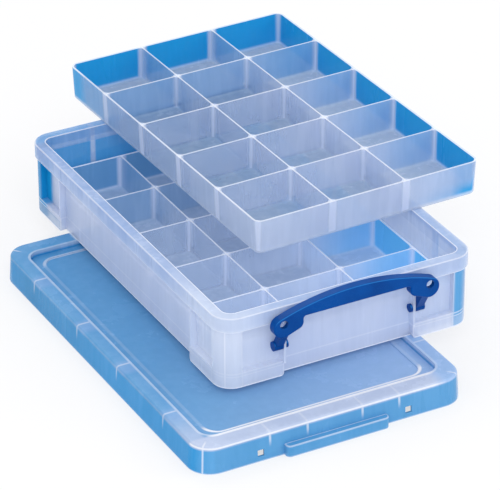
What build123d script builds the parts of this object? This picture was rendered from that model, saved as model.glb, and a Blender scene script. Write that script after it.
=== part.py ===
"""Stackable clear storage box with two lift-out divided trays, a lid and two clip handles.

Millimetres, +Z up, +Y along the box's long side. The lid lies on the ground with its top side up,
the open box stands staggered on the lid, one tray is in the box and the other lies across its rim.
"""
import os
from math import acos, asin, atan2, cos, degrees, radians, sin, sqrt, tan

from build123d import *

# Overall sizes
lid_h = 25.1             # lid, skirt height
box_w = 246.4            # box, side to side over the rim
box_l = 375.6            # box, end to end over the rim
box_h = 68.5             # box, ground to rim

# Box
wall = 1.8               # moulded wall of box and lid
floor_t = 1.8            # floor of the box
rim_w = 10.0             # flat top of the rim, out from the opening
rim_r = 19.2             # rim corner radius, seen from above
skirt_drop = 13.4        # height of the band that hangs from the rim
shell_in = 2.0           # feet and corner columns stand back from the band by this much
foot_h = 14.5            # height of the corner feet
foot_run_x = 58.5        # length of a foot along an end wall
foot_run_y = 59.5        # length of a foot along a side wall
foot_end_r = 3.0         # rounding of a foot's ends at the ground
column_run = 19.0        # width of a corner column along each wall
web_t = 2.2              # ribs from foot to rim, and the hinge webs
hinge_lip = 3.6          # hinge web reaches this far past the hinge axis
rim_edge_r = 0.8         # rounding of the rim's outer edge

# Trays
tray_side_gap = 0.8      # tray to box wall, each side
tray_end_gap = 4.0       # tray to box wall, each end
tray_top_gap = 0.7       # two stacked trays lie this far below the rim
tray_wall = 1.8          # outer wall at the top edge
tray_floor = 1.6
tray_draft = 2.8         # degrees, outer wall
tray_corner_r = 8.0      # top outline corner
tray_base_r = 3.2        # rounding where wall meets base
columns = 3
rows = 5
divider_t = 1.3          # divider at the top edge
cell_draft = 1.5         # degrees
cell_floor_r = 2.4

# Lid
lid_side_gap = 2.5       # skirt to the rim it closes over, each side
lid_end_gap = 2.05       # and each end
lid_round = 1.7          # the skirt's corner radius is this much more than the rim's
lid_draft = 1.6          # the top outline is this much smaller each side
lid_edge_r = 2.6         # rounding of the top outer edge
border_side = 15.5       # raised border along the long sides
border_end = 19.5        # raised border along the short ends
recess_depth = 5.0       # centre panel below the border
recess_r = 12.0
panel_t = 2.6            # centre panel
plate_step = 0.8         # the middle plate lies this much lower again
plate_in_x = 11.5        # middle plate edge, in from the recess wall
plate_in_y = 9.0
lid_rib_t = 1.6
lid_rib_drop = 11.2      # ribs under the border, which sit on the box's rim
side_rib_y = 38.5        # middle pair of ribs under each side of the border
end_rib_x = 26.0         # middle pair under each end
rib_in = 1.5             # the outer pairs, in from the line of the box's webs
tab_in = 14.2            # ends of the latch tabs, in from the hinge webs
tab_out = 6.4
tab_h = 10.6
tab_r = 4.0
window = 6.0             # square hole beside each end of a tab
window_out = 7.3         # its centre, out from the hinge web
window_z = 7.8           # centre height

# Handles
pivot_z = 30.0           # height of the hinge axis
pin_r = 2.2
pin_clear = 0.1          # pin in its web, all round
side_clear = 0.3         # handle to web, each face
head_r = 3.8
head_t = 2.0
knuckle_r = 4.3
knuckle_w = 8.6
knuckle_gap = 0.1        # knuckle to the box wall behind it
leg_w = 7.4
leg_t = 6.0
grip_gap = 3.2           # band to the back of the grip
grip_t = 9.0             # grip, back to front
grip_rise = 7.9          # top of the raised grip's middle, above the rim
grip_under = 6.9         # underside of the grip, below the rim
lobe_out = 7.6           # centre of each end lobe, out from the hinge web
lobe_drop = 13.5         # and below the rim
lobe_r = 9.3
lobe_web = 4.0           # the lobes are hollow behind, and this thick in front
eye_drop = 9.9           # centre of the lobe's hole, below the rim
eye_r = 3.8
heel_in = 5.2            # the lobe's inner lower corner, in from the hinge web
heel_drop = 12.1
heel_r = 6.0
nook_r = 2.5             # between the heel and the grip
grip_edge_r = 1.3
handle_drop = 100.0      # degrees from raised to lowered

# Where the pieces lie
box_dx = 54.0            # box centre from lid centre
box_dy = 67.3
tray_dx = 63.0           # upper tray centre from box centre
tray_dy = 72.2
tray_turn = 1.5          # degrees, the upper tray lies a little skew

# Derived sizes
lid_w = box_w + 2 * (lid_side_gap + wall)
lid_l = box_l + 2 * (lid_end_gap + wall)
lid_r = rim_r + lid_round
inner_w = box_w - 2 * rim_w
inner_l = box_l - 2 * rim_w
tub_w = inner_w + 2 * wall
tub_l = inner_l + 2 * wall
tub_r = rim_r - rim_w + wall
shell_w = box_w - 2 * shell_in
shell_l = box_l - 2 * shell_in
shell_r = rim_r - shell_in
tray_w = inner_w - 2 * tray_side_gap
tray_l = inner_l - 2 * tray_end_gap
tray_h = (box_h - floor_t - tray_top_gap) / 2
cell_corner_r = tray_corner_r - tray_wall
pivot_y = box_l / 2 - (rim_w - wall - knuckle_r - knuckle_gap)
web_x = shell_w / 2 - foot_run_x
web_y = shell_l / 2 - foot_run_y
side_ribs = (side_rib_y, web_y - rib_in)
end_ribs = (end_rib_x, web_x - rib_in)
tab_w = 2 * (web_x - tab_in)
window_x = web_x + window_out
lobe_x = web_x + lobe_out
lobe_z = box_h - lobe_drop
grip_mid_z = box_h + grip_rise
grip_under_z = box_h - grip_under


def block(x0, x1, y0, y1, z0, z1):
    """A box between two corners."""
    return Pos((x0 + x1) / 2, (y0 + y1) / 2, (z0 + z1) / 2) * Box(x1 - x0, y1 - y0, z1 - z0)


def prism(width, length, radius, z0, z1, taper=0.0):
    """A rounded rectangle pulled up from z0 to z1; a negative taper opens upwards."""
    return extrude(Pos(0, 0, z0) * RectangleRounded(width, length, radius), z1 - z0, taper=taper)


def four_corners(run_x, run_y, z0, z1, inset=0.0):
    """Blocks over the four corners of the shell, run_x by run_y, drawn in by the inset."""
    half_x = shell_w / 2
    half_y = shell_l / 2
    past = foot_end_r + 1
    blocks = []
    for sx in (-1, 1):
        for sy in (-1, 1):
            xs = sorted((sx * (half_x - run_x + inset), sx * (half_x + past)))
            ys = sorted((sy * (half_y - run_y + inset), sy * (half_y + past)))
            blocks.append(block(xs[0], xs[1], ys[0], ys[1], z0, z1))
    return blocks


def corner_shell(run_x, run_y, top):
    """The corner feet or columns: an outer skin open underneath, closed on top and at its ends."""
    tub = prism(tub_w, tub_l, tub_r, 0, box_h)
    outer = prism(shell_w, shell_l, shell_r, 0, top) - tub
    inner = prism(shell_w - 2 * wall, shell_l - 2 * wall, shell_r - wall, 0, top - wall) - tub
    skins = []
    solid_blocks = four_corners(run_x, run_y, 0, top)
    hollow_blocks = four_corners(run_x, run_y, 0, top - wall, wall)
    for solid_block, hollow_block in zip(solid_blocks, hollow_blocks):
        rounded_block = fillet(solid_block.edges().group_by(Axis.Z)[0], foot_end_r)
        skins.append((outer & rounded_block) - (inner & hollow_block))
    return skins


def hinge_webs():
    """The upright ribs on the end walls that carry the handle pins."""
    webs = []
    bore = Rot(0, 90, 0) * Cylinder(pin_r + pin_clear, 2 * box_w)
    for sy in (-1, 1):
        for sx in (-1, 1):
            ys = sorted((sy * (tub_l / 2 - 0.5), sy * (pivot_y + hinge_lip)))
            x = sx * web_x
            web = block(x - web_t / 2, x + web_t / 2, ys[0], ys[1], foot_h - wall, box_h - wall / 2)
            webs.append(web - Pos(0, sy * pivot_y, pivot_z) * bore)
    return webs


def side_webs():
    """The plain upright ribs on the side walls, in line with the ends of the feet."""
    webs = []
    for sx in (-1, 1):
        for sy in (-1, 1):
            xs = sorted((sx * (tub_w / 2 - 0.5), sx * shell_w / 2))
            y = sy * (web_y + web_t / 2)
            webs.append(block(xs[0], xs[1], y - web_t / 2, y + web_t / 2, foot_h - wall, box_h - wall / 2))
    return webs


def make_box():
    """The open tub: walls, floor, rim with its hanging band, feet, columns and ribs."""
    rim = prism(box_w, box_l, rim_r, box_h - skirt_drop, box_h)
    rim = fillet(rim.edges().group_by(Axis.Z)[-1], rim_edge_r)
    rim -= prism(box_w - 2 * wall, box_l - 2 * wall, rim_r - wall, box_h - skirt_drop, box_h - wall)
    body = prism(tub_w, tub_l, tub_r, 0, box_h) + rim
    for piece in corner_shell(foot_run_x, foot_run_y, foot_h):
        body += piece
    for piece in corner_shell(column_run, column_run, box_h - wall / 2):
        body += piece
    for piece in hinge_webs() + side_webs():
        body += piece
    return body - prism(inner_w, inner_l, tub_r - wall, floor_t, box_h + 1)


def make_tray():
    """One divided tray, standing on z = 0 about its own centre."""
    lean = tray_h * tan(radians(tray_draft))
    base = RectangleRounded(tray_w - 2 * lean, tray_l - 2 * lean, tray_corner_r - lean)
    tray = extrude(base, tray_h, taper=-tray_draft)
    tray = fillet(tray.edges().group_by(Axis.Z)[0], tray_base_r)
    cell_w = (tray_w - 2 * tray_wall - (columns - 1) * divider_t) / columns
    cell_l = (tray_l - 2 * tray_wall - (rows - 1) * divider_t) / rows
    depth = tray_h - tray_floor
    shrink = depth * tan(radians(cell_draft))
    floor = RectangleRounded(cell_w - 2 * shrink, cell_l - 2 * shrink, cell_corner_r - shrink)
    cell = extrude(Pos(0, 0, tray_floor) * floor, depth, taper=-cell_draft)
    cell = fillet(cell.edges().group_by(Axis.Z)[0], cell_floor_r)
    for i in range(columns):
        for j in range(rows):
            x = (i - (columns - 1) / 2) * (cell_w + divider_t)
            y = (j - (rows - 1) / 2) * (cell_l + divider_t)
            tray -= Pos(x, y, 0) * cell
    return tray


def latch_tab():
    """The ledge on the -Y end of the lid that a handle clips over."""
    face_y = -lid_l / 2
    outline = Pos(0, face_y) * RectangleRounded(tab_w, 2 * tab_out, tab_r)
    hollow = Pos(0, face_y) * RectangleRounded(tab_w - 2 * wall, 2 * (tab_out - wall), tab_r - wall)
    tab = extrude(outline, tab_h)
    tab = fillet(tab.edges().group_by(Axis.Z)[-1], wall / 2)
    tab -= extrude(hollow, tab_h - wall)
    return tab - prism(lid_w - 2 * wall, lid_l - 2 * wall, lid_r - wall, 0, lid_h)


def make_lid():
    """The lid: skirt, raised hollow border with ribs under it, sunk centre panel and two tabs."""
    taper = degrees(asin(lid_draft / lid_h))
    lid = prism(lid_w, lid_l, lid_r, 0, lid_h, taper)
    lid = fillet(lid.edges().group_by(Axis.Z)[-1], lid_edge_r)
    lid -= prism(lid_w - 2 * wall, lid_l - 2 * wall, lid_r - wall, 0, lid_h - wall, taper)
    recess_w = lid_w - 2 * border_side
    recess_l = lid_l - 2 * border_end
    recess_z = lid_h - recess_depth
    lid += prism(recess_w + 2 * wall, recess_l + 2 * wall, recess_r + wall, recess_z - panel_t, lid_h - wall / 2)
    for y in side_ribs:
        for sy in (-1, 1):
            lid += block(-lid_w / 2 + wall, lid_w / 2 - wall, sy * y - lid_rib_t / 2, sy * y + lid_rib_t / 2,
                         lid_h - wall - lid_rib_drop, lid_h - wall) & rib_space(recess_w, recess_l, taper)
    for x in end_ribs:
        for sx in (-1, 1):
            lid += block(sx * x - lid_rib_t / 2, sx * x + lid_rib_t / 2, -lid_l / 2 + wall, lid_l / 2 - wall,
                         lid_h - wall - lid_rib_drop, lid_h - wall) & rib_space(recess_w, recess_l, taper)
    lid -= prism(recess_w, recess_l, recess_r, recess_z, lid_h + 1)
    lid -= prism(recess_w - 2 * plate_in_x, recess_l - 2 * plate_in_y, recess_r, recess_z - plate_step, lid_h)
    for turn in (0, 180):
        lid += Rot(0, 0, turn) * latch_tab()
    for sx in (-1, 1):
        lid -= Pos(sx * window_x, 0, window_z) * Box(window, 2 * lid_l, window)
    return lid


def rib_space(recess_w, recess_l, taper):
    """The channel under the lid's border that the ribs cross."""
    channel = prism(lid_w - wall, lid_l - wall, lid_r - wall / 2, 0, lid_h - wall / 2, taper)
    return channel - prism(recess_w, recess_l, recess_r, 0, lid_h)


def polar(centre, radius, angle):
    """The point at an angle, in degrees, on a circle about a centre."""
    return (centre[0] + radius * cos(radians(angle)), centre[1] + radius * sin(radians(angle)))


def grip_outline():
    """The handle's front outline in x and z: a bowed grip that runs tangent into two end lobes."""
    rise = grip_mid_z - lobe_z
    bow_r = (lobe_x ** 2 + rise ** 2 - lobe_r ** 2) / (2 * (rise - lobe_r))
    bow_centre = (0, grip_mid_z - bow_r)
    lobe = (lobe_x, lobe_z)
    heel = (web_x - heel_in, box_h - heel_drop)
    heel_z = heel[1]
    top_angle = degrees(atan2(lobe[1] - bow_centre[1], lobe[0]))
    along = degrees(atan2(heel[1] - lobe[1], heel[0] - lobe[0]))
    apart = sqrt((heel[1] - lobe[1]) ** 2 + (heel[0] - lobe[0]) ** 2)
    under_angle = along + degrees(acos((lobe_r - heel_r) / apart)) - 360
    shoulder = polar(bow_centre, bow_r, top_angle)
    heel_side = heel[0] - heel_r
    nook = (heel_side - nook_r, grip_under_z - nook_r)
    half = [
        ThreePointArc(shoulder, polar(lobe, lobe_r, (top_angle + under_angle) / 2), polar(lobe, lobe_r, under_angle)),
        Line(polar(lobe, lobe_r, under_angle), polar(heel, heel_r, under_angle)),
        ThreePointArc(polar(heel, heel_r, under_angle), polar(heel, heel_r, (under_angle - 180) / 2),
                      (heel_side, heel_z)),
        Line((heel_side, heel_z), (heel_side, nook[1])),
        ThreePointArc((heel_side, nook[1]), polar(nook, nook_r, 45), (nook[0], grip_under_z)),
        Line((nook[0], grip_under_z), (0, grip_under_z)),
    ]
    bow = ThreePointArc((-shoulder[0], shoulder[1]), (0, grip_mid_z), shoulder)
    other_half = [edge.mirror(Plane.YZ) for edge in half]
    return Face(Wire([bow] + half + other_half))


def make_handle():
    """One clip handle, raised, on the -Y end of a box centred on the origin."""
    back_y = -(box_l / 2 + grip_gap)
    grip = extrude(Pos(0, back_y, 0) * Rot(90, 0, 0) * grip_outline(), grip_t, dir=(0, -1, 0))
    faces = grip.faces().sort_by(Axis.Y)
    handle = fillet(faces[0].edges() + faces[-1].edges(), grip_edge_r)
    eye = Rot(90, 0, 0) * Cylinder(eye_r, 4 * grip_t)
    hollow_depth = grip_t - lobe_web
    hollow = Rot(90, 0, 0) * Cylinder(lobe_r - wall, 2 * hollow_depth)
    for sx in (-1, 1):
        handle -= Pos(sx * lobe_x, back_y, lobe_z) * hollow
        handle -= Pos(sx * lobe_x, back_y - grip_t / 2, box_h - eye_drop) * eye
    axis_y = -pivot_y
    leg_top_y = back_y - grip_t / 2
    leg_top_z = lobe_z - lobe_r / 2
    reach = sqrt((leg_top_y - axis_y) ** 2 + (leg_top_z - pivot_z) ** 2)
    tilt = degrees(asin((axis_y - leg_top_y) / reach))
    for sx in (-1, 1):
        inner_x = web_x + web_t / 2 + side_clear
        leg_x = sx * (inner_x + leg_w / 2)
        leg = Pos(leg_x, axis_y, pivot_z) * Rot(tilt, 0, 0) * Pos(0, 0, reach / 2) * Box(leg_w, leg_t, reach)
        knuckle = Pos(sx * (inner_x + knuckle_w / 2), axis_y, pivot_z) * Rot(0, 90, 0)
        handle += leg + knuckle * Cylinder(knuckle_r, knuckle_w)
        head_x = web_x - web_t / 2 - side_clear - head_t
        pin_len = inner_x + 1 - head_x
        handle += Pos(sx * (head_x + pin_len / 2), axis_y, pivot_z) * Rot(0, 90, 0) * Cylinder(pin_r, pin_len)
        handle += Pos(sx * (head_x + head_t / 2), axis_y, pivot_z) * Rot(0, 90, 0) * Cylinder(head_r, head_t)
    return handle


def place_all():
    """Every piece where it lies, about the lid's centre."""
    box_at = Pos(box_dx, box_dy, lid_h)
    handle = make_handle()
    tray = make_tray()
    hinge = Pos(0, -pivot_y, pivot_z)
    lowered = hinge * Rot(handle_drop, 0, 0) * hinge.inverse() * handle
    return {
        "lid": make_lid(),
        "box_body": box_at * make_box(),
        "lower_tray": box_at * Pos(0, 0, floor_t) * tray,
        "upper_tray": box_at * Pos(tray_dx, tray_dy, box_h) * Rot(0, 0, tray_turn) * tray,
        "front_handle": box_at * handle,
        "rear_handle": box_at * Rot(0, 0, 180) * lowered,
    }


def main():
    os.makedirs("parts", exist_ok=True)
    pieces = place_all()
    boxes = [shape.bounding_box() for shape in pieces.values()]
    low = [min(tuple(b.min)[k] for b in boxes) for k in range(3)]
    high = [max(tuple(b.max)[k] for b in boxes) for k in range(3)]
    centre = Pos(-(low[0] + high[0]) / 2, -(low[1] + high[1]) / 2, -low[2])
    for name, shape in pieces.items():
        export_step(centre * shape, f"parts/{name}.step")
    print("overall", [round(high[k] - low[k], 2) for k in range(3)])
    print("lid centre", centre.position)
    box_centre = (centre * Pos(box_dx, box_dy, lid_h)).position
    print("box centre", box_centre)
    for name, sy in (("front", -1), ("rear", 1)):
        print(name, "hinge axis", box_centre + Vector(0, sy * pivot_y, pivot_z))


if __name__ == "__main__":
    main()
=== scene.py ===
"""Clear storage box with two divided trays, its lid and two clip handles: finishes, light and camera.

The CAD pieces keep their own shapes. Each clear plastic is painted by place on its piece, in metres from the
piece's middle and underside, so it stays with the piece in every pose and view.
"""
from math import cos, radians, sin

import bmesh
import bpy
from mathutils import Matrix, Vector


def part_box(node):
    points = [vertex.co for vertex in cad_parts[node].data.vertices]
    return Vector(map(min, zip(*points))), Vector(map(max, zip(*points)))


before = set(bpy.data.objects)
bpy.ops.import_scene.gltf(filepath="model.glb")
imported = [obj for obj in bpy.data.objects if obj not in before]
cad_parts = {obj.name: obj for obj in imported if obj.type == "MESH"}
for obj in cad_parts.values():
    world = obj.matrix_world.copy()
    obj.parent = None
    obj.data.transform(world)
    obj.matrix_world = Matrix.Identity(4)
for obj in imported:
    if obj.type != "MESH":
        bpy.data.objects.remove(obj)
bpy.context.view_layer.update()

MM = 0.001

# Camera, measured about the middle of the lid's underside
VIEW_TURN = radians(-28.14)
VIEW_RISE = radians(29.48)
VIEW_ROLL = radians(-0.21)
VIEW_DISTANCE = 2.9646
VIEW_RIGHT = 0.0197
VIEW_UP = 0.0779
LENS_MM = 245.1
SENSOR_MM = 36.0
VIEW_END = 100

# Light; each lamp has a name, a place, a size and a power
WORLD_LIGHT = 0.8
FLOOR_HALF = 14.0
FLOOR_GLOW = 0.68
LAMP_AIM = (0, 0, 0.05)
LAMPS = (
    ("key", (-0.9, -2.1, 2.1), 1.5, 25),
    ("fill", (2.1, -1.1, 1.3), 1.2, 8),
    ("back", (0.4, 2.0, 2.3), 1.4, 12),
)

# Sizes of the pieces that the finishes follow
LID_CORNER = 20.9 * MM
LID_BORDER_SIDE = 15.5 * MM
LID_BORDER_END = 19.5 * MM
LID_RECESS_CORNER = 12.0 * MM
LID_PLATE_IN = 10.0 * MM
LID_TAB_OUT = 6.4 * MM
LID_TAB_HEIGHT = 10.6 * MM
LID_TAB_HALF = 48.5 * MM
LID_TAB_CORNER = 4.0 * MM
LID_SIDE_RIBS = (38.5 * MM, 124.8 * MM)
LID_END_RIBS = (26.0 * MM, 61.2 * MM)
RIM_CORNER = 19.2 * MM
RIM_WIDTH = 10.0 * MM
RIM_BAND = 13.4 * MM
FOOT_HEIGHT = 14.5 * MM
FOOT_RUN_X = 60.5 * MM
FOOT_RUN_Y = 61.5 * MM
COLUMN_RUN = 21.0 * MM
HINGE_WEB_X = 62.7 * MM
TRAY_COLUMNS = 3
TRAY_ROWS = 5
TRAY_TURN = radians(1.5)
TRAY_WALL = 1.8 * MM
TRAY_CORNER = 8.0 * MM
CELL_CORNER = 6.2 * MM
DIVIDER = 1.3 * MM

# Plastic: its index, its blobs of grain per metre, how they stretch and how deep they stand
PLASTIC_IOR = 1.49
STREAKS = 34
STREAK_STRETCH = (1, 1, 0.22)
THREADS = 150
THREAD_STRETCH = (1, 1, 0.10)
CLOUDS = 11
CLOUD_DEPTH = 0.4 * MM
HANDLE_CLOUDS = 40
HANDLE_GRAIN = 1400
HANDLE_GRAIN_DEPTH = 0.15 * MM


def srgb(red, green, blue):
    """A colour as the eye reads it, from 0 to 1, as the linear colour a shader takes."""
    linear = [c / 12.92 if c <= 0.04045 else ((c + 0.055) / 1.055) ** 2.4 for c in (red, green, blue)]
    return (*linear, 1.0)


FROST = srgb(0.81, 0.85, 0.94)
FROST_PALE = srgb(0.90, 0.93, 0.98)
FROST_BLUE = srgb(0.58, 0.70, 0.88)
FROST_GREY = srgb(0.62, 0.71, 0.82)
MIST = srgb(0.58, 0.67, 0.79)
MIST_PALE = srgb(0.79, 0.85, 0.95)
GLASS = srgb(0.60, 0.69, 0.83)
GLASS_PALE = srgb(0.76, 0.81, 0.92)
GLASS_GREY = srgb(0.52, 0.63, 0.74)
CERULEAN = srgb(0.06, 0.60, 0.85)
CERULEAN_DEEP = srgb(0.04, 0.52, 0.75)
LAKE = srgb(0.38, 0.72, 0.92)
LAKE_GREY = srgb(0.38, 0.58, 0.76)
SKY = srgb(0.33, 0.62, 0.84)
SKY_DEEP = srgb(0.09, 0.58, 0.84)
SKY_FRONT = srgb(0.33, 0.63, 0.85)
SKY_PALE = srgb(0.62, 0.76, 0.94)
# Painted light: a pale wash where the lid's ribs catch the light
SKY_RIB_HIGHLIGHT = srgb(0.48, 0.67, 0.88)
# Painted sheen on the lid's front border top
LID_SHEEN = srgb(0.74, 0.80, 0.92)
# Painted highlight colour for the pale edge lines
EDGE_HIGHLIGHT = srgb(0.96, 0.97, 1.0)
HANDLE_BLUE = srgb(0.01, 0.29, 0.60)
HANDLE_DARK = srgb(0.01, 0.25, 0.54)
# Lighter handle blue, for its grain and for a painted highlight
HANDLE_GRAIN_AND_HIGHLIGHT = srgb(0.14, 0.43, 0.72)
FLOOR_WHITE = srgb(0.97, 0.97, 0.98)


class Wire:
    """A value in a material's node tree. Sums and products of values add Math nodes."""

    def __init__(self, finish, socket):
        self.finish = finish
        self.socket = socket

    def math(self, operation, *values):
        """A Math node over this value and the others."""
        node = self.finish.add("Math", {"operation": operation}, dict(enumerate((self, *values))))
        return Wire(self.finish, node.outputs[0])

    def __add__(self, other):
        return self.math("ADD", other)

    def __sub__(self, other):
        return self.math("SUBTRACT", other)

    def __mul__(self, other):
        return self.math("MULTIPLY", other)

    def __truediv__(self, other):
        return self.math("DIVIDE", other)

    def __rsub__(self, other):
        return self.math("MULTIPLY", -1.0).math("ADD", other)

    def __abs__(self):
        return self.math("ABSOLUTE")

    __radd__ = __add__
    __rmul__ = __mul__

    def greater_of(self, other):
        return self.math("MAXIMUM", other)

    def lesser_of(self, other):
        return self.math("MINIMUM", other)

    def part_of_one(self):
        """What is left of the value above its whole number."""
        return self.math("FRACT")

    def step(self, low, high):
        """0 at low, 1 at high and smooth between; low may be the larger."""
        settings = {"interpolation_type": "SMOOTHSTEP"}
        if low < high:
            node = self.finish.add("MapRange", settings, {"Value": self, "From Min": low, "From Max": high})
            return Wire(self.finish, node.outputs["Result"])
        return 1 - self.step(high, low)


class Finish:
    """One material: its shader, and coordinates centred on its piece, in metres."""

    def __init__(self, name, centre=(0, 0, 0), turn=0.0):
        self.material = bpy.data.materials.new(name)
        self.material.use_nodes = True
        tree = self.material.node_tree
        self.nodes = tree.nodes
        self.links = tree.links
        self.shader = self.nodes["Principled BSDF"]
        place = self.add("TexCoord").outputs["Object"]
        local = {"Vector": place, "Location": centre, "Rotation": (0, 0, turn)}
        self.place = self.add("Mapping", {"vector_type": "TEXTURE"}, local).outputs["Vector"]
        split = self.add("SeparateXYZ", None, {"Vector": self.place})
        self.x, self.y, self.z = (Wire(self, split.outputs[k]) for k in range(3))
        facing = self.add("SeparateXYZ", None, {"Vector": self.add("TexCoord").outputs["Normal"]})
        self.facing_x, self.facing_y, self.facing_z = (Wire(self, facing.outputs[k]) for k in range(3))

    def add(self, kind, settings=None, sockets=None):
        """A node of any type, with its settings first and then the values or links of its sockets."""
        node = self.nodes.new("ShaderNode" + kind)
        for name, value in (settings or {}).items():
            setattr(node, name, value)
        for name, value in (sockets or {}).items():
            self.feed(node.inputs[name], value)
        return node

    def feed(self, socket, value):
        """Links a value to a socket, or sets the socket to a plain one."""
        if isinstance(value, Wire):
            value = value.socket
        if isinstance(value, bpy.types.NodeSocket):
            self.links.new(value, socket)
        else:
            socket.default_value = value

    def set(self, **values):
        """Sets the shader's own sockets; a name's underscores are its blanks."""
        for name, value in values.items():
            self.feed(self.shader.inputs[name.replace("_", " ")], value)

    def mix(self, share, first, second):
        """The first colour where share is 0, the second where it is 1."""
        node = self.add("Mix", {"data_type": "RGBA"}, {0: share, 6: first, 7: second})
        return node.outputs[2]

    def facing_away(self):
        """1 on faces that look to the far end or to the right."""
        return self.facing_y.greater_of(self.facing_x).step(0.3, 0.8)

    def noise(self, scale, detail=3.0, stretch=(1, 1, 1)):
        """Cloudy noise about 0.5; scale is in blobs per metre."""
        stretched = self.add("Mapping", {"vector_type": "POINT"}, {"Vector": self.place, "Scale": stretch})
        sockets = {"Vector": stretched.outputs[0], "Scale": scale, "Detail": detail}
        return Wire(self, self.add("TexNoise", None, sockets).outputs["Fac"])

    def bump(self, height, strength, depth):
        """The surface normal over a height, whose full range stands for the given depth."""
        sockets = {"Strength": strength, "Distance": depth, "Height": height}
        return self.add("Bump", None, sockets).outputs["Normal"]


def near(value, place, reach):
    """1 where a value is at a place, fading to 0 at the given reach."""
    return abs(value - place).step(reach, 0.35 * reach)


def near_either(value, places, reach):
    """1 where a value is at either of two places."""
    return near(value, places[0], reach).greater_of(near(value, places[1], reach))


def span(node):
    """A CAD node's lowest point at its middle, and half its width and length and its height."""
    low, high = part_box(node)
    centre = ((low.x + high.x) / 2, (low.y + high.y) / 2, low.z)
    return centre, (high.x - low.x) / 2, (high.y - low.y) / 2, high.z - low.z


def outline(x, y, half_x, half_y, radius):
    """How far a place is from a rounded rectangle about the middle; negative inside it."""
    past_x = abs(x) - (half_x - radius)
    past_y = abs(y) - (half_y - radius)
    over_x = past_x.greater_of(0.0)
    over_y = past_y.greater_of(0.0)
    corner = (over_x * over_x + over_y * over_y).math("SQRT")
    return corner + past_x.greater_of(past_y).lesser_of(0.0) - radius


def corner_line(x, y, half_x, half_y, radius, reach):
    """1 on the upright line in the middle of each rounded corner."""
    past_x = abs(x) - (half_x - radius)
    past_y = abs(y) - (half_y - radius)
    return near(past_x - past_y, 0.0, reach) * past_x.step(0.3 * radius, 0.5 * radius)


def frosted(finish, colour, cover, edge_highlights, cloud, glow):
    """Semi-clear moulded plastic: cloudy streaks, painted highlights along edge lines, and a painted glow
    (emission) that stands in for light held in the wall.
    """
    streaks = finish.noise(STREAKS, 3.0, STREAK_STRETCH)
    threads = finish.noise(THREADS, 2.0, THREAD_STRETCH)
    clouds = finish.noise(CLOUDS, 3.0)
    mottle = streaks.step(0.42, 0.68) * 0.45 + threads.step(0.42, 0.62) * 0.2 + clouds.step(0.35, 0.7) * 0.35
    colour = finish.mix(mottle * cloud, colour, FROST_PALE)
    # Painted highlights: edge lines mixed toward near-white, and made more opaque below
    colour = finish.mix(edge_highlights, colour, EDGE_HIGHLIGHT)
    cover = (cover + (mottle - 0.5) * 0.10).greater_of(edge_highlights * 0.92)
    # The emission is a painted glow, standing in for light held in the wall
    finish.set(Base_Color=colour, Roughness=mottle * 0.12 + 0.20, IOR=PLASTIC_IOR, Specular_IOR_Level=0.2,
               Alpha=cover, Emission_Color=colour, Emission_Strength=glow,
               Normal=finish.bump(clouds, 0.2, CLOUD_DEPTH))


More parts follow.
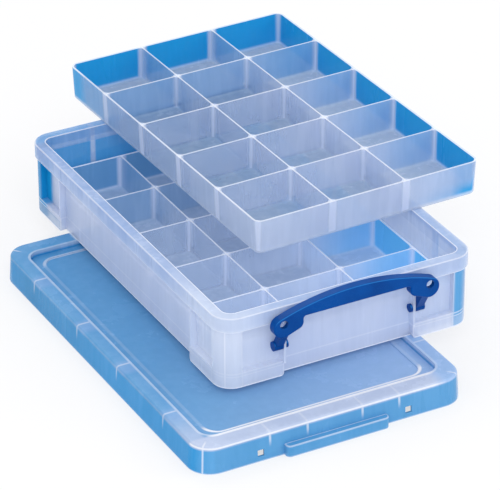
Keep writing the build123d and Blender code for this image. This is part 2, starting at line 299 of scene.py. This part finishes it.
def lid_finish():
    """Sky blue clear plastic, with a painted sheen on the front border and painted highlights along its edge
    lines.
    """
    centre, half_w, half_l, height = span("lid")
    finish = Finish("lid_sky_blue_clear", centre)
    x, y, z = finish.x, finish.y, finish.z
    end = half_l - LID_TAB_OUT
    recess_x = half_w - LID_BORDER_SIDE
    recess_y = end - LID_BORDER_END
    across = abs(x)
    along = abs(y)
    recess = outline(x, y, recess_x, recess_y, LID_RECESS_CORNER)
    skin = outline(x, y, half_w, end, LID_CORNER)
    border = recess.step(-1 * MM, 0.5 * MM)
    top = z.step(height - 4.5 * MM, height - 1.5 * MM)
    front = y.step(-recess_y + 2 * MM, -recess_y - 2 * MM) * x.step(half_w - 18 * MM, half_w - 34 * MM)
    left = x.step(-recess_x + 2 * MM, -recess_x - 2 * MM) * y.step(end - 20 * MM, end - 60 * MM)
    left_skirt = left * (1 - top)
    border_top = border * top
    near_end = y.step(-end + 75 * MM, -end + 22 * MM)

    rib_reach = 1.5 * MM
    side_ribs = near_either(along, LID_SIDE_RIBS, rib_reach)
    end_ribs = near_either(across, LID_END_RIBS, rib_reach)
    ribs = side_ribs * across.step(recess_x, recess_x + 2 * MM)
    ribs = ribs.greater_of(end_ribs * along.step(recess_y, recess_y + 2 * MM))
    ribs = ribs * z.step(height - 15 * MM, height - 5 * MM) * (1 - top * front * 0.6)
    # Painted light where the ribs under the left border catch it, shifted toward the front
    past_ribs = abs(y + 5 * MM)
    rib_highlight = near_either(past_ribs, LID_SIDE_RIBS, 14 * MM)

    toward_front = (x / half_w - y / end).step(-0.9, 1.9)
    colour = finish.mix(toward_front, SKY, SKY_PALE)
    colour = finish.mix(border * (1 - top), colour, SKY_DEEP)
    colour = finish.mix(left_skirt * y.step(-0.3 * end, 0.7 * end) * border * 0.8, colour, CERULEAN_DEEP)
    colour = finish.mix(y.step(-end + 16 * MM, -end + 2 * MM) * (1 - top), colour, SKY_FRONT)
    # Painted light: a pale wash over the ribs on the left border top
    colour = finish.mix(border_top * left * rib_highlight * 0.75, colour, SKY_RIB_HIGHLIGHT)
    # Painted sheen on the left border near the front and on the front border top
    colour = finish.mix(border_top * left * near_end * 0.7, colour, LID_SHEEN)
    colour = finish.mix(border_top * front, colour, LID_SHEEN)

    # Painted highlights: pale lines along the recess, the plate step, the outer top edge, the rounded
    # corners, the hem, the tab and the ribs
    right_end = x.step(recess_x - 14 * MM, recess_x - 2 * MM)
    front_edge = near(recess, 1.0 * MM, 3.0 * MM) * front
    other_edge = near(recess, 0.8 * MM, 2.0 * MM) * (1 - front) * (toward_front * 0.25 + 0.35)
    other_edge = other_edge * (1 - right_end * 0.6)
    plate = outline(x, y, recess_x - LID_PLATE_IN, recess_y - LID_PLATE_IN, LID_RECESS_CORNER)
    plate_front = y.step(-recess_y + 24 * MM, -recess_y + 16 * MM)
    plate_far = y.step(recess_y - 24 * MM, recess_y - 16 * MM)
    plate_edge = near(plate, 0.9 * MM, 2.2 * MM) * (plate_front * 0.88 + plate_far * 0.35 + 0.12)
    outer_edge = near(z, height - 1.7 * MM, 1.0 * MM) * border * (front * 0.75 + 0.08)
    upright = corner_line(x, y, half_w, end, LID_CORNER, 1.6 * MM) * border * 0.55
    hem = z.step(1.1 * MM, 0.4 * MM) * 0.45
    ledge = outline(x, along - end, LID_TAB_HALF, LID_TAB_OUT, LID_TAB_CORNER)
    tab_lines = near(ledge, -0.5 * MM, 0.8 * MM).greater_of(near(skin, 0.5 * MM, 0.7 * MM))
    tab_top = z.step(LID_TAB_HEIGHT - 1.6 * MM, LID_TAB_HEIGHT - 0.9 * MM)
    tab_lines = tab_lines * skin.step(0.0, 0.3 * MM) * tab_top
    edge_highlights = (front_edge + other_edge) * top
    edge_highlights = edge_highlights.greater_of(plate_edge).greater_of(outer_edge).greater_of(upright)
    edge_highlights = edge_highlights.greater_of(hem).greater_of(tab_lines * 0.45).greater_of(ribs * (front * 0.2 + 0.38))
    cover = border * 0.04 + left_skirt * 0.09 + 0.86
    frosted(finish, colour, cover, edge_highlights, border_top * (front * 0.14 + 0.05) + 0.05, 0.0)
    return finish.material


def box_finish():
    """Frosted clear plastic, with painted reflection: the blue of a backdrop seen through it, on the far
    wall, at the far left and near right corners and a little on the right wall; and painted highlights along
    its edge lines.
    """
    centre, half_w, half_l, height = span("box_body")
    finish = Finish("box_frosted_clear", centre)
    x, y, z = finish.x, finish.y, finish.z
    skin = outline(x, y, half_w, half_l, RIM_CORNER)
    outside = skin.step(-3.2 * MM, -2.6 * MM)
    band = z.step(height - RIM_BAND - 0.5 * MM, height - RIM_BAND + 0.5 * MM)
    below_band = 1 - band
    # Painted reflection: the blue of a backdrop seen through the clear walls, deeper at the far left and
    # near right corners and weaker on faces that look outward
    far = y.step(half_l - 20 * MM, half_l - 12 * MM) * 0.9
    right = x.step(half_w - 18 * MM, half_w - 12 * MM) * 0.22
    far_left = y.step(half_l - 36 * MM, half_l - 28 * MM) * x.step(-half_w + 24 * MM, -half_w + 16 * MM)
    far_left = far_left * below_band
    near_right = x.step(half_w - 24 * MM, half_w - 18 * MM) * outside * below_band
    near_right = near_right * (z.step(FOOT_HEIGHT - 6 * MM, FOOT_HEIGHT) * 0.25 + 0.65)
    blue = far.greater_of(right).greater_of(far_left).greater_of(near_right) * (1 - band * 0.5)
    blue = blue * (1 - finish.facing_away() * 0.5)
    colour = finish.mix(band * (y.step(-half_l, half_l) * 0.3 + 0.7), FROST, FROST_BLUE)
    # Painted light: paler near the front-left corner, and paler on the right wall to lift the shade on its
    # inner face
    near_left = y.step(-half_l + 130 * MM, -half_l + 20 * MM) * x.step(-half_w + 70 * MM, -half_w + 10 * MM)
    colour = finish.mix((near_left * 0.6).greater_of(right * 0.5), colour, FROST_PALE)
    web = near(abs(x), HINGE_WEB_X, 3.5 * MM) * (1 - outside)
    blue = blue * (1 - web * far * 0.6)
    colour = finish.mix(blue, colour, CERULEAN)
    colour = finish.mix((far_left * 0.6).greater_of(near_right * 0.35), colour, CERULEAN_DEEP)
    feet = z.step(FOOT_HEIGHT - 3 * MM, FOOT_HEIGHT - 5 * MM) * outside
    colour = finish.mix(feet * y.step(-half_l + 60 * MM, half_l) * 0.8, colour, FROST_GREY)
    far_foot = feet * y.step(half_l - 80 * MM, half_l - 30 * MM) * x.step(0.0, -0.5 * half_w)
    colour = finish.mix(far_foot * 0.7, colour, LAKE_GREY)

    # Painted highlights: pale lines along the band, the rim, the opening's lip, the hem, the feet, the floor
    # step, the rounded corners and the column and foot ends
    band_line = near(z, height - RIM_BAND, 0.9 * MM) * outside * 0.8
    rim_line = z.step(height - 1.1 * MM, height - 0.5 * MM) * skin.step(-1.5 * MM, -0.7 * MM) * 0.8
    opening = outline(x, y, half_w - RIM_WIDTH, half_l - RIM_WIDTH, RIM_CORNER - RIM_WIDTH)
    lip = near(opening, 0.2 * MM, 0.9 * MM) * z.step(height - 0.9 * MM, height - 0.4 * MM)
    hem = z.step(1.6 * MM, 0.7 * MM)
    foot_line = near(z, FOOT_HEIGHT - 3.6 * MM, 0.7 * MM) * outside * 0.5
    floor_line = near(z, FOOT_HEIGHT - 0.8 * MM, 1.0 * MM) * 0.5
    upright = corner_line(x, y, half_w, half_l, RIM_CORNER, 1.4 * MM) * outside
    upright = upright * below_band * (0.8 - blue * 0.6)
    from_end = half_l - abs(y)
    from_side = half_w - abs(x)
    foot_end = near(from_end, FOOT_RUN_Y, 1.2 * MM).greater_of(near(from_side, FOOT_RUN_X, 1.2 * MM))
    foot_end = foot_end * z.step(FOOT_HEIGHT + 0.5 * MM, FOOT_HEIGHT - 1 * MM)
    column_end = near(from_end, COLUMN_RUN, 1.1 * MM).greater_of(near(from_side, COLUMN_RUN, 1.1 * MM))
    uprights = foot_end.greater_of(column_end * below_band * (0.55 - far_left * 0.45)) * outside
    edge_highlights = band_line.greater_of(rim_line).greater_of(lip).greater_of(hem).greater_of(foot_line)
    edge_highlights = edge_highlights.greater_of(floor_line).greater_of(upright).greater_of(uprights * 0.7)
    # The last value is the strength of the painted glow (emission)
    frosted(finish, colour, blue * 0.28 + far_left * 0.08 + 0.60, edge_highlights * 0.85, 0.36 - blue * 0.34, 0.08)
    return finish.material


def tray_finish(node, name, turn, blue_cells, glow, back, front, base, far_blue, right_blue):
    """A divided tray: one colour far left, another in front, and blue at the far end and the right, a
    painted reflection of a backdrop seen through it; painted highlights along its wall tops.
    """
    centre, _, _, height = span(node)
    half_w, half_l = tray_halves()
    finish = Finish(name, centre, turn)
    x, y, z = finish.x, finish.y, finish.z
    pitch_x = (2 * (half_w - TRAY_WALL) + DIVIDER) / TRAY_COLUMNS
    pitch_y = (2 * (half_l - TRAY_WALL) + DIVIDER) / TRAY_ROWS
    rim = outline(x, y, half_w, half_l, TRAY_CORNER)
    skin = rim.step(-3.6 * MM, -2.4 * MM)
    floor = z.step(4 * MM, 2 * MM)
    front_face = y.step(-half_l + 1.4 * MM, -half_l + 0.6 * MM)
    # Painted reflection: the blue of a backdrop seen through the far end and the right side, weaker on faces
    # that look outward, on the front face and on the floor
    fades = (1 - (finish.facing_away() * 0.5).greater_of(front_face * 0.7)) * (1 - floor * 0.35)
    far_wall = y.step(half_l - 50 * MM, half_l - 15 * MM) * skin
    far_cells = y.step(0.35 * half_l, 0.7 * half_l) * blue_cells
    right_wall = x.step(half_w - 45 * MM, half_w - 12 * MM) * skin
    right_cells = x.step(0.2 * half_w, 0.8 * half_w) * blue_cells
    far = far_wall.greater_of(far_cells) * fades
    beside = right_wall.greater_of(right_cells) * fades
    blue = far.greater_of(beside)
    colour = finish.mix((x / half_w - y / half_l).step(-1.3, 0.9), back, front)
    colour = finish.mix(far, colour, far_blue)
    colour = finish.mix(beside, colour, right_blue)
    colour = finish.mix(floor * (1 - skin) * (0.8 - blue * 0.7), colour, base)
    colour = finish.mix(skin * z.step(6 * MM, 3 * MM) * 0.45, colour, FROST_PALE)
    to_side = abs((x / pitch_x).part_of_one() - 0.5) * pitch_x
    to_end = abs((y / pitch_y).part_of_one() - 0.5) * pitch_y
    post = to_side.step(CELL_CORNER, 0.4 * CELL_CORNER) * to_end.step(CELL_CORNER, 0.4 * CELL_CORNER)
    post = post * (1 - floor)
    colour = finish.mix(post * 0.7, colour, FROST)
    corner = (x / half_w + y / half_l).step(-0.9, -1.8) * skin
    colour = finish.mix(corner * 0.3, colour, FROST_PALE)
    # Painted highlights along the tops of the walls and dividers
    rim_middle = near(rim, -0.8 * MM, 1.4 * MM)
    wall_middle = to_side.lesser_of(to_end).step(1.1 * MM, 0.7 * MM).greater_of(rim_middle)
    edge_highlights = z.step(height - 0.4 * MM, height - 0.15 * MM) * wall_middle * 0.75
    cover = (blue * (skin * 0.10 + 0.46) + floor * 0.14 + corner * 0.10 + 0.38).greater_of(post * 0.8)
    frosted(finish, colour, cover, edge_highlights, 0.22 - blue * 0.2, glow)
    return finish.material


def tray_halves():
    """Half the width and length of a tray; the one in the box lies square."""
    low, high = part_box("lower_tray")
    return (high.x - low.x) / 2, (high.y - low.y) / 2


def handle_finish():
    """Deep blue plastic with a fine grain, and a painted highlight where a face looks up and to the front.
    """
    finish = Finish("handle_deep_blue")
    clouds = finish.noise(HANDLE_CLOUDS, 3.0)
    grain = finish.noise(HANDLE_GRAIN, 2.0)
    colour = finish.mix(clouds.step(0.35, 0.7), HANDLE_BLUE, HANDLE_DARK)
    colour = finish.mix(grain.step(0.5, 0.8) * 0.2, colour, HANDLE_GRAIN_AND_HIGHLIGHT)
    # Painted highlight on faces that look up and to the front
    top_front_highlight = finish.facing_y.step(-0.30, -0.60) * finish.facing_z.step(0.30, 0.60)
    colour = finish.mix(top_front_highlight, colour, HANDLE_GRAIN_AND_HIGHLIGHT)
    finish.set(Base_Color=colour, Roughness=clouds * 0.10 + 0.24, IOR=PLASTIC_IOR, Specular_IOR_Level=0.06,
               Normal=finish.bump(clouds * 0.6 + grain * 0.4, 0.3, HANDLE_GRAIN_DEPTH))
    return finish.material


def dress(node, material):
    """Gives a CAD node its finish in every slot."""
    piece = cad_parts[node]
    if not piece.material_slots:
        piece.data.materials.append(material)
    for slot in piece.material_slots:
        slot.link = "OBJECT"
        slot.material = material


def shown_white(tree):
    """1 where the background shows itself, directly, in a gloss or through clear plastic, and 0 as light."""
    path = tree.nodes.new("ShaderNodeLightPath")
    either = path.outputs["Is Camera Ray"]
    for ray in ("Is Glossy Ray", "Is Transmission Ray"):
        most = tree.nodes.new("ShaderNodeMath")
        most.operation = "MAXIMUM"
        tree.links.new(either, most.inputs[0])
        tree.links.new(path.outputs[ray], most.inputs[1])
        either = most.outputs[0]
    return either


def make_floor():
    """A pale floor that takes the shadow."""
    mesh = bmesh.new()
    bmesh.ops.create_grid(mesh, x_segments=1, y_segments=1, size=FLOOR_HALF)
    data = bpy.data.meshes.new("floor")
    mesh.to_mesh(data)
    mesh.free()
    floor = bpy.data.objects.new("floor", data)
    bpy.context.scene.collection.objects.link(floor)
    material = bpy.data.materials.new("floor_white")
    material.use_nodes = True
    tree = material.node_tree
    tree.nodes.clear()
    matt = tree.nodes.new("ShaderNodeBsdfDiffuse")
    matt.inputs["Color"].default_value = FLOOR_WHITE
    glow = tree.nodes.new("ShaderNodeEmission")
    glow.inputs["Strength"].default_value = 1.0
    share = tree.nodes.new("ShaderNodeMath")
    share.operation = "MULTIPLY"
    share.inputs[1].default_value = FLOOR_GLOW
    tree.links.new(shown_white(tree), share.inputs[0])
    blend = tree.nodes.new("ShaderNodeMixShader")
    tree.links.new(share.outputs[0], blend.inputs[0])
    tree.links.new(matt.outputs[0], blend.inputs[1])
    tree.links.new(glow.outputs[0], blend.inputs[2])
    output = tree.nodes.new("ShaderNodeOutputMaterial")
    tree.links.new(blend.outputs[0], output.inputs["Surface"])
    data.materials.append(material)


def make_world():
    """White where it is seen, and dimmer as light."""
    world = bpy.data.worlds.new("studio")
    bpy.context.scene.world = world
    world.use_nodes = True
    tree = world.node_tree
    ground = tree.nodes["Background"]
    ground.inputs["Color"].default_value = (1, 1, 1, 1)
    level = tree.nodes.new("ShaderNodeMapRange")
    level.inputs["To Min"].default_value = WORLD_LIGHT
    level.inputs["To Max"].default_value = 1.0
    tree.links.new(shown_white(tree), level.inputs["Value"])
    tree.links.new(level.outputs[0], ground.inputs["Strength"])


def lamp(name, place, size, power):
    """A soft square lamp at a place, pointed at the aim that all lamps share."""
    data = bpy.data.lights.new(name, "AREA")
    data.size = size
    data.energy = power
    thing = bpy.data.objects.new(name, data)
    thing.location = place
    thing.rotation_euler = (Vector(LAMP_AIM) - Vector(place)).to_track_quat("-Z", "Y").to_euler()
    bpy.context.scene.collection.objects.link(thing)


def make_camera():
    """The camera at the photograph's angle."""
    low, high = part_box("lid")
    lid_middle = Vector(((low.x + high.x) / 2, (low.y + high.y) / 2, 0))
    back = Vector((sin(VIEW_TURN) * cos(VIEW_RISE), -cos(VIEW_TURN) * cos(VIEW_RISE), sin(VIEW_RISE)))
    level_right = (-back).cross(Vector((0, 0, 1))).normalized()
    level_up = level_right.cross(-back)
    right = level_right * cos(VIEW_ROLL) + level_up * sin(VIEW_ROLL)
    up = level_up * cos(VIEW_ROLL) - level_right * sin(VIEW_ROLL)
    data = bpy.data.cameras.new("camera")
    data.lens = LENS_MM
    data.sensor_width = SENSOR_MM
    data.clip_end = VIEW_END
    camera = bpy.data.objects.new("camera", data)
    place = Matrix((right, up, back)).transposed().to_4x4()
    place.translation = lid_middle + back * VIEW_DISTANCE + right * VIEW_RIGHT + up * VIEW_UP
    camera.matrix_world = place
    bpy.context.scene.collection.objects.link(camera)
    bpy.context.scene.camera = camera


make_floor()
make_world()
for lamp_settings in LAMPS:
    lamp(*lamp_settings)
make_camera()

dress("lid", lid_finish())
dress("box_body", box_finish())
# Each tray's last two colours paint the blue of a backdrop seen through it, a painted reflection; its glow
# is a painted emission, higher in the lower tray, which the upper one shades
dress("lower_tray", tray_finish("lower_tray", "lower_tray_clear", 0.0, 0.75, 0.20,
                                MIST, MIST_PALE, FROST_GREY, LAKE_GREY, LAKE))
dress("upper_tray", tray_finish("upper_tray", "upper_tray_clear", TRAY_TURN, 0.50, 0.08,
                                GLASS, GLASS_PALE, GLASS_GREY, CERULEAN, CERULEAN))
handle_plastic = handle_finish()
dress("front_handle", handle_plastic)
dress("rear_handle", handle_plastic)

bpy.context.scene.view_settings.view_transform = "Standard"
